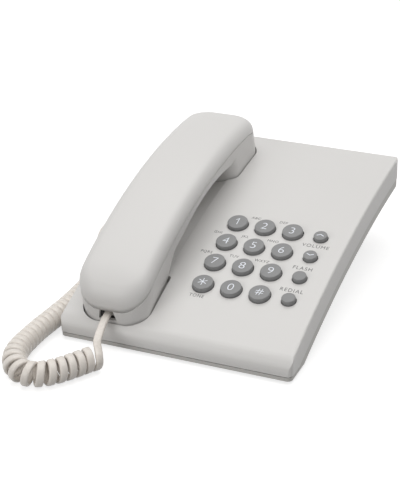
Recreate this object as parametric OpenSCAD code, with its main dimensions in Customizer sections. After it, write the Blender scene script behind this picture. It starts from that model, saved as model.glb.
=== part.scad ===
// Corded desk telephone: a bent, wedge-shaped base with a keypad, and a handset
// that lies in a cradle on its left and is tied to it by a curly cord.
// Millimetres. X runs to the right, Y away from the user and Z up. The origin is
// on the table, under the middle of the base.

/* [Base] */
// Width of the base
base_w = 150; // [148:1:160]
// Depth of the base from front to back
base_d = 208; // [206:1:214]
// Height of the top surface at the middle of the base
top_mid_z = 45; // [44:0.5:50]
// Radius of the front-to-back bend of the top surface
top_bend_r = 680; // [660:10:720]
// How far behind the middle the top surface would run level
top_level_y = 140; // [136:1:146]
// Radius of the two upright corners at the front
front_corner_r = 3.5; // [3:0.5:6]
// Radius of the two upright corners at the rear
rear_corner_r = 7.5; // [4:0.5:9]
// Rounding of the long edges of the top surface
edge_r = 1.5; // [1:0.1:3]
// Rounding of the rear edge of the top surface
rear_r = 3.5; // [2.5:0.1:4]
// Rounding of the nose along the front edge
nose_r = 11; // [8:0.5:12]
// Depth of the top cover's side walls, square to the top surface
cover_h = 13.5; // [13:0.1:15]
// Depth of the band of the bottom cover that shows below the seam
band_h = 5.8; // [5:0.1:7]
// How far the bottom cover stands back from the top cover
band_inset = 0.3; // [0.2:0.1:1]
// Height of the seam along the front
seam_front_z = 5; // [4.6:0.1:6]
// Open line between the two covers
cover_seam = 0.6; // [0.3:0.05:0.8]
// Open line between the handset's shells, and between pieces that are fastened together
seam_gap = 0.2; // [0.1:0.05:0.4]
// Wall thickness of both covers
wall = 2.3; // [2:0.1:2.8]

/* [Stand and feet] */
// How far the stand reaches past the handset's centre line
stand_reach = 9.4; // [8.6:0.1:12]
// Front face of the stand
stand_front_y = -20; // [-30:1:-10]
// Rear face of the stand
stand_back_y = 90; // [84:1:91]
// Radius of the stand's upright corners
stand_r = 5; // [3:0.5:8]
// Diameter of a rubber foot
foot_d = 12; // [10:0.5:14]
// Thickness of a rubber foot
foot_h = 2; // [1.5:0.1:2.4]

/* [Case screws] */
// Shank radius of a case screw
screw_r = 1.45; // [1.2:0.05:1.6]
// Head radius of a case screw
screw_head_r = 2.8; // [2.4:0.1:3.2]
// Head thickness of a case screw
screw_head_h = 1.8; // [1.4:0.1:2.2]
// Radius of a screw boss
boss_r = 3.5; // [3.2:0.1:4]

/* [Cradle] */
// Depth of the wells that take the ends of the handset
well_depth = 6; // [5:0.1:6.5]
// Clearance around the handset in its wells
well_gap = 0.7; // [0.5:0.1:1]
// Height of the resting handset above the floor of its wells
rest_gap = 0.3; // [0.2:0.05:0.4]
// Half-width of the finger trough between the wells
trough_half_w = 19; // [16:0.5:20]
// Depth of the finger trough
trough_depth = 5; // [3:0.1:5]

/* [Keypad] */
// Centre of the left key column
key_left_x = 1.8; // [1:0.1:4]
// Sideways pitch of the key columns
key_pitch_x = 18.4; // [18:0.1:19]
// Pitch of the key rows along the slope
key_pitch_v = 19.4; // [18.8:0.1:20]
// Middle of the key field from front to back
key_mid_y = -32.2; // [-35:0.1:-30]
// Diameter of a dialling key
key_d = 12.9; // [12:0.1:13.4]
// Diameter of a function key
small_key_d = 8.6; // [8:0.1:9.4]
// Clearance all round a key in its hole
key_gap = 0.5; // [0.4:0.05:0.6]
// Height of a key's top above the cover
key_proud = 3; // [2.6:0.1:3.6]
// Travel of a key
key_travel = 1.8; // [1.2:0.1:2]
// Thickness of the flange that keeps a key under the cover
key_flange_h = 1; // [0.8:0.1:1.2]
// How far a key's flange stands out past its side
key_flange_out = 1.3; // [1:0.1:1.5]
// Rounding of a key's upper edge
key_edge_r = 0.6; // [0.4:0.1:1.2]

/* [Handset] */
// Length of the handset
hs_len = 196; // [194:1:197]
// Width of the handset
hs_w = 47.4; // [46:0.2:49]
// Distance of the handset's centre line from the left side of the base
hs_margin = 32.4; // [31.5:0.1:33]
// Place of the handset's middle from front to back
hs_mid_y = -5.4; // [-6:0.1:-5]
// Tilt of the handset in its cradle, in degrees
hs_tilt = 12.5; // [12.4:0.05:12.6]
// Radius of the corners of the handset, seen from above
hs_corner_r = 17; // [14:0.5:19]
// Radius of the handset's arch along its seam
hs_arch_r = 329; // [320:1:340]
// Height of the seam above the base at the middle of the arch
hs_seam_h = 23.2; // [22.8:0.1:24]
// Height of the upper shell above the seam
hs_crown_h = 8.8; // [8.4:0.1:9.4]
// Rounding of the upper shell's edges
hs_edge_r = 7.4; // [6:0.1:7.6]
// Rise of the upper shell from its sides to its middle
hs_camber = 1; // [0.5:0.1:1.4]
// How far from the middle the ends begin to droop
hs_droop_from = 74; // [72:1:76]
// Droop of the seam at the mouth end's tip
hs_seam_droop = 7; // [6:0.1:7.5]
// Droop of the upper shell at the mouth end's tip
hs_top_droop = 4; // [3:0.1:4.5]
// Droop of the seam at the ear end's tip
ear_seam_droop = 5; // [4:0.1:7]
// Droop of the upper shell at the ear end's tip
ear_top_droop = 1; // [0.5:0.1:4]
// Lean of the mouth end's sides below the seam, in degrees
mouth_draft = 10; // [6:0.5:11]
// Height of the grip's sides below the seam
grip_side_h = 4; // [3.5:0.1:5]
// Radius of the arch under the grip
grip_arch_r = 150; // [145:1:160]
// Where the arch under the grip ends, from the middle
grip_half = 45; // [44:0.5:46]
// Wall thickness of the handset
hs_wall = 2.2; // [1.8:0.1:2.4]
// Seam between the two shells of the handset
hs_seam = 0.4; // [0.2:0.05:0.6]

/* [Cord] */
// Width of the flat cord
cord_d = 4.2; // [4:0.1:4.4]
// Outside diameter of the cord's coil
coil_d = 13.8; // [13.4:0.1:14]

/* [Sockets and switches] */
// Distance of the line jack right of the middle
line_jack_x = 24; // [22:1:26]
// Distance of the ringer switch right of the middle
ringer_x = 2; // [0:1:4]
// Distance of the dial mode switch right of the middle
dial_mode_x = 44; // [42:1:46]
// Place of the cord's jack on the left side
cord_jack_y = -10; // [-14:1:-6]
// Travel of the ringer switch between its three places
ringer_travel = 6; // [5:0.5:6]
// Travel of the dial mode switch
dial_mode_travel = 4; // [3:0.5:4]

/* [Hidden] */

round_fn = 48;       // facets of small round work
bend_fn = 720;       // facets of the base's large bend
big = 400;           // reach of a cutting block
eps = 0.01;

// What is set from the sides of the base
hs_left = base_w / 2 - hs_margin;
stand_w = 2 * (hs_left + stand_reach);

// The base is bent about an axis that lies across it, far below the table
bend_z = top_mid_z - sqrt(top_bend_r * top_bend_r - top_level_y * top_level_y);
function top_z(y, depth = 0) = bend_z + sqrt(pow(top_bend_r - depth, 2) - pow(y - top_level_y, 2));
function top_tilt(y) = asin((top_level_y - y) / top_bend_r);

// Places that several pieces share
base_h = cover_h + band_h;
floor_depth = base_h - wall;
key_tilt = top_tilt(key_mid_y);
function pad_drop(v) = top_bend_r - sqrt(top_bend_r * top_bend_r - v * v);
function key_x(column) = key_left_x + column * key_pitch_x;
function key_v(row) = (row - 1.5) * key_pitch_v;
function under_z(y) = max(foot_h, top_z(y, base_h));
function seat_z(y) = under_z(y) + screw_head_h + 0.4;
pad_h = 2;
case_screw_at = [[base_w / 2 - 13, 16 - base_d / 2], [-9, 16 - base_d / 2],
    [base_w / 2 - 13, base_d / 2 - 7.5], [13 - base_w / 2, base_d / 2 - 7.5]];

// Depths below the top surface, at the middle key rows
key_row_lean = 1.5 * key_pitch_v / top_bend_r;
flange_top = wall + 0.3 + (key_d / 2 + key_flange_out) * key_row_lean;
flange_bottom = flange_top + key_flange_h;
stem_bottom = flange_bottom + 1.5;
ring_top = flange_bottom + key_travel + 0.5;
mat_top = stem_bottom + key_travel + 0.9;
mat_h = 1.2;
board_top = mat_top + mat_h;
board_h = 1.6;
board_side = 4.7;
board_x = [key_left_x - key_d / 2 - 5.3, base_w / 2 - wall - board_side];
board_v = [-45, 55];
mat_edge = 2;
mat_v = 1.5 * key_pitch_v + key_d / 2 + mat_edge;
post_r = 3;
post_inset = 4;
mat_stem_r = 2.5;
small_stem_r = 1.8;
ring_wall = 1.4;
ring_gap = 0.5;

// The handset's own frame: u runs along it and w square to it, away from the base
hs_half = hs_len / 2;
hs_mid_z = top_z(hs_mid_y);
hs_axis_u = (top_level_y - hs_mid_y) * cos(hs_tilt) + (bend_z - hs_mid_z) * sin(hs_tilt);
hs_axis_w = (bend_z - hs_mid_z) * cos(hs_tilt) - (top_level_y - hs_mid_y) * sin(hs_tilt);
function base_w_at(u, depth = 0) = hs_axis_w + sqrt(pow(top_bend_r - depth, 2) - pow(u - hs_axis_u, 2));
function sag(r, u) = r - sqrt(r * r - u * u);
function droop(u) = pow(max(abs(u) - hs_droop_from, 0) / (hs_half - hs_droop_from), 2);
function seam_w(u) = hs_seam_h - sag(hs_arch_r, u) - (u > 0 ? ear_seam_droop : hs_seam_droop) * droop(u);
function crown_w(u) = hs_seam_h + hs_crown_h - sag(hs_arch_r + hs_crown_h, u)
    - (u > 0 ? ear_top_droop : hs_top_droop) * droop(u);
function grip_w(u) = hs_seam_h - grip_side_h - sag(grip_arch_r, min(abs(u), grip_half));
block_depth = well_depth - rest_gap;
ear_front_u = 47.5;
mouth_back_u = -57;
mouth_slope_u = -45;
mouth_well_extra = 1.8;
block_corner_r = 8;
mouth_corner_r = 1.5;

// The mouth end's sides lean in below a line from draft_u to the tip
draft_u = -48;
draft_tilt = atan2(seam_w(draft_u) - seam_w(-hs_half), draft_u + hs_half);
function draft_w(u) = seam_w(draft_u) + (u - draft_u) * tan(draft_tilt);
function mouth_half_w(u) =
    hs_w / 2 - (draft_w(u) - base_w_at(u)) * cos(draft_tilt) * tan(mouth_draft);
mouth_widest_u = hs_corner_r - 3 - hs_half;
mouth_well_r = hs_corner_r - 3.5;
// Its leaning sides fade back into the upright ones between these two places
draft_fade_u = [-4, 16];
draft_fade_w = 2;

// The modular plugs and jacks of the curly cord
plug_w = 7.6;
plug_h = 6.2;
plug_l = 11;
jack_gap = 0.25;
jack_wall = 1.6;
hs_jack_x = -1;
hs_plug_u = -hs_half + 4;
hs_plug_w = -2.2;
cord_jack_depth = 8.6;

// Hook plunger, in the handset's frame
hook_u = 57;
hook_size = [8, 13];
hook_gap = 0.3;
hook_rise = 4;
hook_l = 13;
hook_collar = 1.5;
hook_collar_h = 1.2;
hook_collar_gap = 1;
hook_contact = [8, 10];
hook_board = [18, 24];
hook_board_left = 6;

// Hook switch, ringer, rear sockets and switches
hook_board_drop = 20;
hook_board_h = 1.6;
hook_post_x = 6;
hook_post_r = 2;
post_l = 60;
hook_post_u = [hook_u - 9, hook_u + 9];
buzzer_at = [16, 50];
buzzer_r = 15;
buzzer_h = 5;
buzzer_port_r = 2;
buzzer_port_l = 2;
sound_slot = [1.6, 12];
sound_slot_pitch = 4;
rear_depth = 8;
inner_back_y = base_d / 2 - band_inset - wall - seam_gap;
knob_w = 4;
knob_h = 3.4;
knob_lip = 1.5;
knob_lip_t = 1.1;
knob_lip_gap = 0.4;
knob_out = 0.8;
knob_lip_y = wall / 2 + rear_depth * sin(top_tilt(base_d / 2)) + knob_lip_gap;
switch_gap = 0.3;
switch_t = 6;
line_open = [10.4, 7.6];
line_way = [9.8, 6.8, 12.5];
line_jack_l = 15;
line_jack_w = 13.4;
line_jack_top = 5;
cord_jack_l = 13.5;
cord_jack_w = 11;
cord_jack_top = 3.9;
cord_port_gap = [1.4, 1.2];
hs_jack_l = 14.5;
hs_jack_top = 4.7;
hs_jack_bottom = 5.9;
floor_gap = 0.4;
screw_l = 9;
hs_screw_l = 12;
hs_screw_u = [-64, 55.5];
hs_screw_sunk = 2;
hs_screw_head_h = 1.6;
hs_boss_r = 3;
hs_boss_foot_r = 4.4;
ear_slot = [1.7, 12];
ear_slot_pitch = 4.2;
mouth_slot = [1.6, 4];
earpiece_y = 70.5;
earpiece_r = 14.5;
earpiece_h = 7;
earpiece_rim = 3.5;
earpiece_dish = 2;
microphone_y = -77.5;
microphone_r = 4.7;
microphone_h = 5.5;
weight_size = [22, 52, 3.5];
chip_size = [14, 9, 3.4];
relay_size = [10, 8, 2.4];
bridge_size = [8, 8, 3];
capacitor_r = 3;
capacitor_h = 3.2;
capacitor_pitch = 8;
parts_v = board_v[1] - 7.5;
feet_at = [[base_w / 2 - 14, 18 - base_d / 2], [14 - base_w / 2, 18 - base_d / 2],
    [stand_w / 2 - 10, stand_back_y - 10], [10 - stand_w / 2, stand_back_y - 10]];
function stem_r(column) = column < 3 ? mat_stem_r : small_stem_r;

// Cord routes, chosen by hand and measured from the base's left side: the tails' points
// lie along the cord, the coil's points lie on the table along the middle of its turns
function from_side(route) = [for (p = route) concat([p[0] - base_w / 2], [for (k = [1:len(p) - 1]) p[k]])];
handset_tail_route = from_side([[31.4, -97, 21.2], [31.4, -100.5, 20.4], [31.2, -104, 19.2],
    [30.8, -107.5, 17.3], [30.5, -111, 15], [30.5, -114.5, 12.5], [31, -117.5, 10.5],
    [32.1, -120.2, 9.1], [33.7, -122.5, 8.3]]);
coil_route = from_side([[37, -127.5], [33.5, -132.5], [30.5, -137.5], [27, -143], [23, -148.5],
    [18, -153.5], [12, -157], [5.5, -157.5], [-1, -154], [-6, -148], [-9.5, -140], [-11, -131],
    [-11.3, -121], [-11, -110], [-10, -99], [-9, -88], [-8.2, -77], [-8, -66], [-8, -55], [-8, -45]]);
base_tail_route = from_side([[-9, -43.8, 8], [-10, -38, 9.5], [-11.5, -32, 12.5], [-12.4, -27, 16.6],
    [-12.6, -22, 21.6], [-12, -17, 26.6], [-10.4, -12.6, 31], [-7, -9.2, 33.8], [-3, -8.1, 34.4],
    [0.4, -8.1, 34.4]]);

// ---------- frames ----------

module on_top(x, y, depth = 0)
    translate([x, y, top_z(y)]) rotate([top_tilt(y), 0, 0]) translate([0, 0, -depth]) children();

// The plane that touches the top surface in the middle of the key field
module on_key_plane()
    translate([0, key_mid_y, top_z(key_mid_y)]) rotate([key_tilt, 0, 0]) children();

module on_key(x, v)
    on_key_plane() translate([x, v, -pad_drop(v)]) children();

module in_handset()
    translate([-hs_left, hs_mid_y, hs_mid_z]) rotate([hs_tilt, 0, 0]) children();

// ---------- shapes ----------

module rounded_rect(size, r)
    translate([-size[0] / 2, -size[1] / 2]) {
        translate([r, 0]) square([size[0] - 2 * r, size[1]]);
        translate([0, r]) square([size[0], size[1] - 2 * r]);
        for (x = [r, size[0] - r], y = [r, size[1] - r]) translate([x, y]) circle(r, $fn = round_fn);
    }

module block(x, y, z)
    translate([x[0], y[0], z[0]]) cube([x[1] - x[0], y[1] - y[0], z[1] - z[0]]);

// Everything inside the large bend, down to its axis
module under_bend(depth)
    translate([0, top_level_y, bend_z]) rotate([0, 90, 0])
        cylinder(r = top_bend_r - depth, h = big, center = true, $fn = bend_fn);

// A slab that follows the bend, with its two long upper edges rounded
module bent_slab(half_w, top_depth, bottom_depth, r)
    translate([0, top_level_y, bend_z]) rotate([0, 90, 0]) rotate_extrude($fn = bend_fn)
        translate([top_bend_r - bottom_depth, -half_w]) {
            square([bottom_depth - top_depth - r, 2 * half_w]);
            translate([0, r]) square([bottom_depth - top_depth, 2 * (half_w - r)]);
            for (y = [r, 2 * half_w - r])
                translate([bottom_depth - top_depth - r, y]) circle(r, $fn = round_fn);
        }

// Upright prism over the base's outline, moved inwards by inset
module plan_prism(inset) {
    half_w = base_w / 2 - inset;
    half_d = base_d / 2 - inset;
    front = front_corner_r - inset;
    rear = rear_corner_r - inset;
    translate([0, 0, -1]) linear_extrude(120) {
        translate([-half_w, front - half_d]) square([2 * half_w, 2 * half_d - front - rear]);
        translate([front - half_w, -half_d]) square([2 * (half_w - front), front]);
        translate([rear - half_w, half_d - rear]) square([2 * (half_w - rear), rear]);
        for (side = [-1, 1]) {
            translate([side * (half_w - front), front - half_d]) circle(front, $fn = round_fn);
            translate([side * (half_w - rear), half_d - rear]) circle(rear, $fn = round_fn);
        }
    }
}

// Side view of the nose along the front edge, moved inwards by inset
nose_y = -base_d / 2 + nose_r;
nose_z = bend_z + sqrt(pow(top_bend_r - nose_r, 2) - pow(nose_y - top_level_y, 2));
nose_lap = 0.02;
module nose_prism(inset)
    rotate([90, 0, 90]) translate([0, 0, -big / 2]) linear_extrude(big) {
        r = nose_r - inset + nose_lap;
        translate([nose_y, -1]) square([big, big]);
        translate([nose_y - nose_r - 1, -1]) square([nose_r + 1, nose_z + 1]);
        translate([nose_y, nose_z]) circle(r, $fn = 96);
        polygon([[nose_y, nose_z],
            [nose_y - r * sin(top_tilt(nose_y)), nose_z + r * cos(top_tilt(nose_y))],
            [nose_y, big]]);
    }

// Side view of the rounded rear edge, moved inwards by inset
rear_y = base_d / 2 - rear_r;
rear_z = bend_z + sqrt(pow(top_bend_r - rear_r, 2) - pow(rear_y - top_level_y, 2));
module rear_prism(inset)
    rotate([90, 0, 90]) translate([0, 0, -big / 2]) linear_extrude(big) {
        translate([rear_y - big, -1]) square([big, big]);
        translate([rear_y, -1]) square([rear_r + 1, rear_z + 1]);
        translate([rear_y, rear_z]) circle(rear_r - inset + nose_lap, $fn = 96);
    }

// Outline of one handset end in plan, from u1 (inner) to u2 (the tip)
module end_plan(u1, u2, half_w, r_in, r_out) {
    tip = sign(u2);
    translate([-half_w, min(u1, u2)]) {
        translate([0, tip > 0 ? r_in : r_out]) square([2 * half_w, abs(u2 - u1) - r_in - r_out]);
        translate([r_in, tip > 0 ? 0 : abs(u2 - u1) - r_in]) square([2 * (half_w - r_in), r_in]);
        translate([r_out, tip > 0 ? abs(u2 - u1) - r_out : 0]) square([2 * (half_w - r_out), r_out]);
        for (x = [r_in, 2 * half_w - r_in])
            translate([x, tip > 0 ? r_in : abs(u2 - u1) - r_in]) circle(r_in, $fn = round_fn);
        for (x = [r_out, 2 * half_w - r_out])
            translate([x, tip > 0 ? abs(u2 - u1) - r_out : r_out]) circle(r_out, $fn = 96);
    }
}

// ---------- skins made of rings ----------

outline_corner_n = 8;
outline_side_n = 24;

// Right half of a rounded rectangle, from front to back, moved inwards by inset
function half_outline(half_w, half_l, r, inset) =
    let (cr = max(r - inset, 0.02), cx = half_w - inset - cr, cy = half_l - inset - cr)
    concat([for (k = [0:outline_corner_n - 1]) let (a = -90 + 90 * k / outline_corner_n)
            [cx + cr * cos(a), -cy + cr * sin(a)]],
        [for (k = [0:outline_side_n]) [cx + cr, -cy + 2 * cy * k / outline_side_n]],
        [for (k = [1:outline_corner_n]) let (a = 90 * k / outline_corner_n)
            [cx + cr * cos(a), cy + cr * sin(a)]]);

// Joins rings of points, bottom first, and closes the ends across the middle line
module ringed_solid(rings) {
    n = len(rings[0]);
    last = (len(rings) - 1) * n;
    rows = n / 2 - 2;
    polyhedron(points = [for (ring = rings, p = ring) p], convexity = 6, faces = concat(
        [for (j = [0:len(rings) - 2], i = [0:n - 1]) let (a = j * n + i, b = j * n + (i + 1) % n)
            [a, b + n, b]],
        [for (j = [0:len(rings) - 2], i = [0:n - 1]) let (a = j * n + i, b = j * n + (i + 1) % n)
            [a, a + n, b + n]],
        [for (i = [0:rows]) [i, i + 1, n - 2 - i]],
        [for (i = [0:rows]) [i, n - 2 - i, n - 1 - i]],
        [for (i = [0:rows]) [last + i, last + n - 2 - i, last + i + 1]],
        [for (i = [0:rows]) [last + i, last + n - 1 - i, last + n - 2 - i]]));
}

function whole_ring(half) = concat(half, [for (i = [len(half) - 1:-1:0]) [-half[i][0], half[i][1], half[i][2]]]);

// Points of the upper shell's surface, moved inwards by t; bottom gives the lowest ring
function shell_ring(t, inset, drop) = whole_ring(
    [for (p = half_outline(hs_w / 2 - t, hs_half - t, hs_corner_r - t, inset))
        [p[0], p[1], crown_w(p[1]) - t - drop - hs_camber * pow(1 - (inset + t) / (hs_w / 2), 2)]]);
function seam_ring(t, lift) = whole_ring(
    [for (p = half_outline(hs_w / 2 - t, hs_half - t, hs_corner_r - t, 0)) [p[0], p[1], seam_w(p[1]) + lift]]);

module shell_form(t, lift) {
    r = hs_edge_r - t;
    flat = hs_w / 2 - t - r;
    ringed_solid(concat([seam_ring(t, lift)],
        [for (a = [0:15:90]) shell_ring(t, r * (1 - cos(a)), r * (1 - sin(a)))],
        [for (k = [1:3]) shell_ring(t, r + flat * k / 4, 0)]));
}

// ---------- tubes ----------

function unit(v) = v / norm(v);
function heading(p, i) = unit(p[min(i + 1, len(p) - 1)] - p[max(i - 1, 0)]);
function square_to(v, h) = unit(v - (v * h) * h);
function tube_sides(p, s) = [for (i = 0, v = square_to(s, heading(p, 0)); i < len(p);
    i = i + 1, v = square_to(v, heading(p, min(i, len(p) - 1)))) v];

module tube(route, r, sides, start_side) {
    s = tube_sides(route, start_side);
    rings = [for (i = [0:len(route) - 1]) let (h = heading(route, i), up = cross(h, s[i]))
        [for (k = [0:sides - 1]) let (a = 360 * (k + 0.5) / sides) route[i] + r * (cos(a) * s[i] + sin(a) * up)]];
    n = sides;
    last = (len(route) - 1) * n;
    polyhedron(points = [for (ring = rings, p = ring) p], faces = concat(
        [for (j = [0:len(route) - 2], i = [0:n - 1]) let (a = j * n + i, b = j * n + (i + 1) % n)
            [a, b + n, b]],
        [for (j = [0:len(route) - 2], i = [0:n - 1]) let (a = j * n + i, b = j * n + (i + 1) % n)
            [a, a + n, b + n]],
        [[for (i = [0:n - 1]) i]],
        [[for (i = [n - 1:-1:0]) last + i]]));
}

// ---------- the base's covers ----------

// The body of the base down to a depth below its top surface, moved inwards by inset
module base_form(inset, depth) intersection() {
    bent_slab(base_w / 2 - inset, inset, depth, max(edge_r - inset, 0.3));
    plan_prism(inset);
    nose_prism(inset);
    rear_prism(inset);
}

module well_space(grow) intersection() {
    in_handset() translate([0, 0, -big / 2]) linear_extrude(big) {
        end_plan(ear_front_u - well_gap - grow, hs_half + well_gap + grow, hs_w / 2 + well_gap + grow,
            block_corner_r, hs_corner_r);
        end_plan(mouth_back_u + mouth_well_extra + well_gap + grow, -hs_half - well_gap - grow,
            mouth_half_w(mouth_widest_u) + well_gap + grow, mouth_corner_r, mouth_well_r + grow);
    }
    bent_slab(base_w, -40, well_depth + grow, 1);
}

module trough_space(grow) {
    r = (trough_half_w * trough_half_w + trough_depth * trough_depth) / (2 * trough_depth);
    intersection() {
        translate([0, top_level_y, bend_z]) rotate([0, 90, 0]) rotate_extrude($fn = bend_fn)
            translate([top_bend_r + r - trough_depth, -hs_left]) circle(r + grow, $fn = 180);
        in_handset()
            block([-trough_half_w - 6, trough_half_w + 6], [mouth_back_u - 4, ear_front_u + 4], [-30, 30]);
        under_bend(-4);
    }
}

module key_holes() {
    for (row = [0:3], column = [0:3])
        on_key(key_x(column), key_v(row))
            cylinder(r = (column < 3 ? key_d : small_key_d) / 2 + key_gap, h = 20, center = true, $fn = 64);
}

module hook_slot()
    in_handset() translate([0, hook_u, base_w_at(hook_u, well_depth) - 10]) linear_extrude(20)
        rounded_rect([hook_size[0] + 2 * hook_gap, hook_size[1] + 2 * hook_gap], 1.5);

module rear_slot(x, travel)
    on_top(x, base_d / 2 - wall / 2, rear_depth)
        cube([knob_w + travel + 2 * hook_gap, 4 * wall, knob_h + 2 * hook_gap], center = true);

module boss_columns() {
    for (p = case_screw_at) translate([p[0], p[1], seat_z(p[1]) + pad_h + seam_gap])
        cylinder(r = boss_r, h = 40, $fn = round_fn);
}

module top_cover() color([0.86, 0.85, 0.83]) difference() {
    union() {
        difference() {
            base_form(0, cover_h);
            difference() {
                base_form(wall, cover_h + 2);
                well_space(wall);
                trough_space(wall);
            }
        }
        intersection() {
            boss_columns();
            under_bend(wall / 2);
        }
    }
    block([-base_w, base_w], [-base_d, 0], [-10, seam_front_z]);
    well_space(0);
    trough_space(0);
    key_holes();
    hook_slot();
    on_top(-base_w / 2, cord_jack_y, cord_jack_depth)
        cube([4 * wall, plug_w + cord_port_gap[0], plug_h + cord_port_gap[1]], center = true);
    on_top(line_jack_x, base_d / 2 - wall / 2, rear_depth)
        cube([line_open[0], 4 * wall, line_open[1]], center = true);
    rear_slot(ringer_x, ringer_travel);
    rear_slot(dial_mode_x, dial_mode_travel);
    for (p = case_screw_at) translate([p[0], p[1], 0])
        cylinder(r = screw_r + 0.05, h = seat_z(p[1]) + screw_l + 0.5, $fn = round_fn);
}

module stand_prism(inset, z)
    translate([0, (stand_front_y + stand_back_y) / 2, z]) linear_extrude(70)
        rounded_rect([stand_w - 2 * inset, stand_back_y - stand_front_y - 2 * inset], stand_r - inset);

// The bottom cover as if it were solid
module bottom_form() {
    difference() {
        intersection() {
            plan_prism(band_inset);
            block([-base_w, base_w], [-base_d, base_d], [foot_h, 90]);
            union() {
                under_bend(cover_h + cover_seam);
                block([-base_w, base_w], [-base_d, 0], [0, seam_front_z - cover_seam]);
            }
        }
        under_bend(base_h);
    }
    intersection() {
        stand_prism(0, foot_h);
        under_bend(floor_depth);
    }
}

module bottom_cover() color([0.84, 0.83, 0.81]) difference() {
    union() {
        difference() {
            bottom_form();
            difference() {
                intersection() {
                    plan_prism(band_inset + wall);
                    block([-base_w, base_w], [-base_d, base_d], [foot_h + wall, 90]);
                }
                under_bend(floor_depth);
            }
            stand_prism(wall, foot_h + wall);
        }
        intersection() {
            bottom_form();
            union() {
                on_key_plane() for (x = board_x, v = board_v)
                    translate([x + (x < 0 ? post_inset : -post_inset), v + (v < 0 ? post_inset : -post_inset),
                        -board_top - board_h - seam_gap - post_l])
                        cylinder(r = post_r, h = post_l, $fn = round_fn);
                in_handset() for (v = hook_post_u)
                    translate([hook_post_x, v, base_w_at(hook_u, well_depth) - hook_board_drop - hook_board_h
                        - seam_gap - post_l]) cylinder(r = hook_post_r, h = post_l, $fn = round_fn);
                for (p = case_screw_at) translate([p[0], p[1], 0])
                    cylinder(r = boss_r + 1, h = seat_z(p[1]) + pad_h, $fn = round_fn);
            }
        }
        for (p = case_screw_at) translate([p[0], p[1], under_z(p[1]) + 0.4])
            cylinder(r = boss_r + 1, h = seat_z(p[1]) + pad_h - under_z(p[1]) - 0.4, $fn = round_fn);
    }
    for (p = case_screw_at) translate([p[0], p[1], 0]) {
        cylinder(r = screw_head_r + 0.4, h = seat_z(p[1]), $fn = round_fn);
        cylinder(r = screw_r + 0.25, h = 90, $fn = round_fn);
    }
    for (i = [-2:2]) translate([buzzer_at[0] + sound_slot_pitch * i, buzzer_at[1], 0])
        cube([sound_slot[0], sound_slot[1], 2 * (foot_h + wall) + 2], center = true);
}

module rubber_feet() color([0.25, 0.25, 0.25])
    for (p = feet_at) translate([p[0], p[1], 0]) cylinder(r = foot_d / 2, h = foot_h, $fn = round_fn);

module case_screws() color([0.7, 0.7, 0.72])
    for (p = case_screw_at) translate([p[0], p[1], seat_z(p[1])]) {
        cylinder(r = screw_r, h = screw_l, $fn = round_fn);
        translate([0, 0, -screw_head_h]) cylinder(r = screw_head_r, h = screw_head_h, $fn = round_fn);
    }

// ---------- keypad ----------

module main_board() color([0.2, 0.4, 0.25])
    on_key_plane() block(board_x, board_v, [-board_top - board_h, -board_top]);

module board_part(x, size)
    translate([x - size[0] / 2, parts_v - size[1] / 2, 0]) cube(size);

module board_parts() color([0.2, 0.2, 0.22])
    on_key_plane() translate([0, 0, -board_top]) {
        board_part(board_x[0] + 19, chip_size);
        board_part(board_x[0] + 35, relay_size);
        for (i = [0:2]) translate([board_x[0] + 46 + capacitor_pitch * i, parts_v, 0])
            cylinder(r = capacitor_r, h = capacitor_h, $fn = round_fn);
        board_part(board_x[1] - 6, bridge_size);
    }

module key_mat() color([0.75, 0.75, 0.72])
    on_key_plane() difference() {
        union() {
            block([board_x[0] + mat_edge, board_x[1] - mat_edge], [-mat_v, mat_v],
                [-mat_top - mat_h, -mat_top]);
            for (row = [0:3], column = [0:3])
                translate([key_x(column), key_v(row), -mat_top - eps])
                    cylinder(r = stem_r(column) + ring_gap + ring_wall,
                        h = mat_top + eps - ring_top - pad_drop(key_v(row)), $fn = round_fn);
        }
        for (row = [0:3], column = [0:3])
            translate([key_x(column), key_v(row), -mat_top])
                cylinder(r = stem_r(column) + ring_gap, h = 10, $fn = round_fn);
    }

// A round key: flange under the cover, side, rounded upper edge and a stem below
module key(row, column) {
    r = (column < 3 ? key_d : small_key_d) / 2;
    on_key(key_x(column), key_v(row)) {
        rotate_extrude($fn = 96) {
            translate([0, -flange_bottom]) square([r + key_flange_out, key_flange_h]);
            translate([0, -flange_bottom]) square([r, flange_bottom + key_proud - key_edge_r]);
            translate([0, -flange_bottom]) square([r - key_edge_r, flange_bottom + key_proud]);
            translate([r - key_edge_r, key_proud - key_edge_r]) circle(key_edge_r, $fn = round_fn);
        }
        translate([0, 0, -stem_bottom]) cylinder(r = stem_r(column), h = stem_bottom - flange_bottom + 1,
            $fn = round_fn);
    }
}

key_colour = [0.6, 0.6, 0.6];
module key_1() color(key_colour) key(3, 0);
module key_2() color(key_colour) key(3, 1);
module key_3() color(key_colour) key(3, 2);
module key_4() color(key_colour) key(2, 0);
module key_5() color(key_colour) key(2, 1);
module key_6() color(key_colour) key(2, 2);
module key_7() color(key_colour) key(1, 0);
module key_8() color(key_colour) key(1, 1);
module key_9() color(key_colour) key(1, 2);
module key_star() color(key_colour) key(0, 0);
module key_0() color(key_colour) key(0, 1);
module key_hash() color(key_colour) key(0, 2);
module key_volume_up() color(key_colour) key(3, 3);
module key_volume_down() color(key_colour) key(2, 3);
module key_flash() color(key_colour) key(1, 3);
module key_redial() color(key_colour) key(0, 3);

// ---------- hook, ringer, sockets and switches ----------

module hook_plunger() color([0.8, 0.79, 0.77])
    intersection() {
        in_handset() translate([0, hook_u, base_w_at(hook_u, well_depth)]) {
            translate([0, 0, -hook_l]) linear_extrude(hook_l + 3) rounded_rect(hook_size, 1.2);
            translate([0, 0, -wall - hook_collar_gap - hook_rise - hook_collar_h])
                linear_extrude(hook_collar_h)
                rounded_rect([hook_size[0] + 2 * hook_collar, hook_size[1] + 2 * hook_collar], 1.2);
        }
        under_bend(well_depth);
    }

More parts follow.
